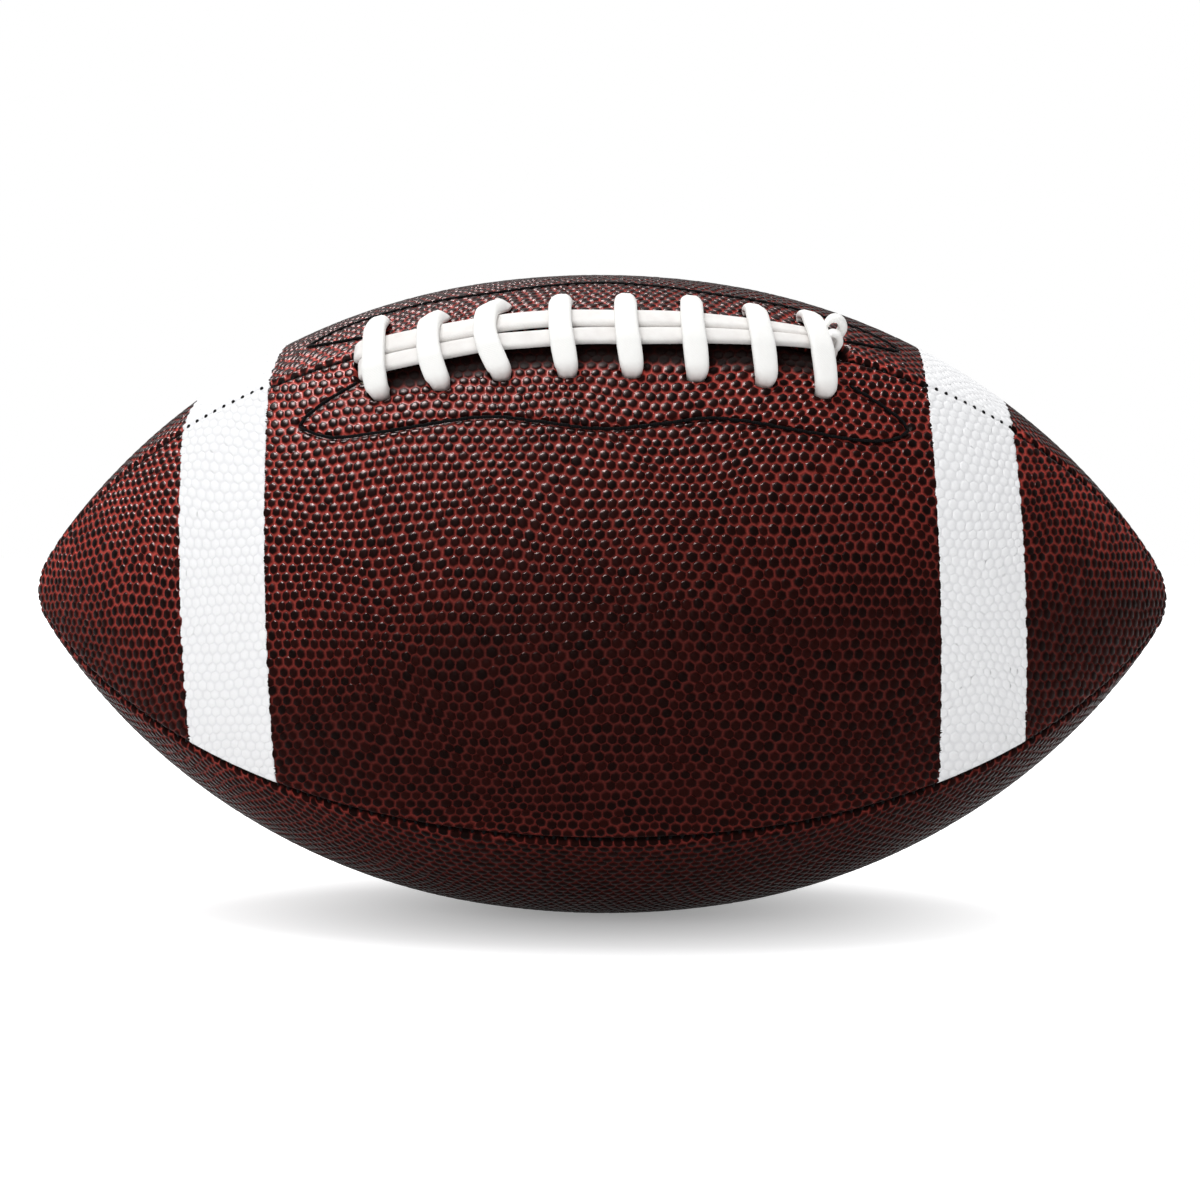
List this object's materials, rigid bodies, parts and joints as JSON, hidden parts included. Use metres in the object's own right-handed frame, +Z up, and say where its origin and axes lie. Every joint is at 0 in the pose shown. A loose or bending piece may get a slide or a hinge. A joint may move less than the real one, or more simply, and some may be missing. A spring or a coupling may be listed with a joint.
{
  "type": "american football",
  "caption": "Pointed four-panel leather ball with a raised lace across its top seam, white end stripes and an inflation valve.",
  "frame": {"origin": "centre of the ball", "axes": "+X along the ball's long axis, +Z up, the laces rolled 40 degrees from the top toward -Y"},
  "size_m": [0.2838, 0.1598, 0.1598],
  "materials": {
    "cover_leather": "pebbled, dark on the pebbles' tops and brick red between them",
    "stripe_white": "pebbled white coating",
    "lace_white": "flat cream lace, slightly soiled",
    "thread_black": "waxed sewing thread",
    "patch_fabric": "woven backing cloth",
    "lining_fabric": "three-ply cotton lining",
    "bladder_rubber": "smooth thin rubber",
    "valve_rubber": "moulded rubber"
  },
  "bodies": {
    "root": {"cover_panel_lace_front": "cover_leather", "cover_panel_lace_rear": "cover_leather", "cover_panel_belly_front": "cover_leather", "cover_panel_belly_rear": "cover_leather", "lining_panel_lace_front": "lining_fabric", "lining_panel_lace_rear": "lining_fabric", "lining_panel_belly_front": "lining_fabric", "lining_panel_belly_rear": "lining_fabric", "stripe_left_front": "stripe_white", "stripe_left_rear": "stripe_white", "stripe_right_front": "stripe_white", "stripe_right_rear": "stripe_white", "thread_lace_seam_left": "thread_black", "thread_lace_seam_right": "thread_black", "thread_front_seam": "thread_black", "thread_rear_seam": "thread_black", "thread_belly_seam": "thread_black", "lace": "lace_white", "lace_patch_front": "patch_fabric", "lace_patch_rear": "patch_fabric", "patch_stitching_front": "thread_black", "patch_stitching_rear": "thread_black", "lace_tongue": "patch_fabric", "bladder": "bladder_rubber", "valve_housing": "valve_rubber", "valve_core": "valve_rubber", "valve_patch": "bladder_rubber"}
  },
  "joints": []
}
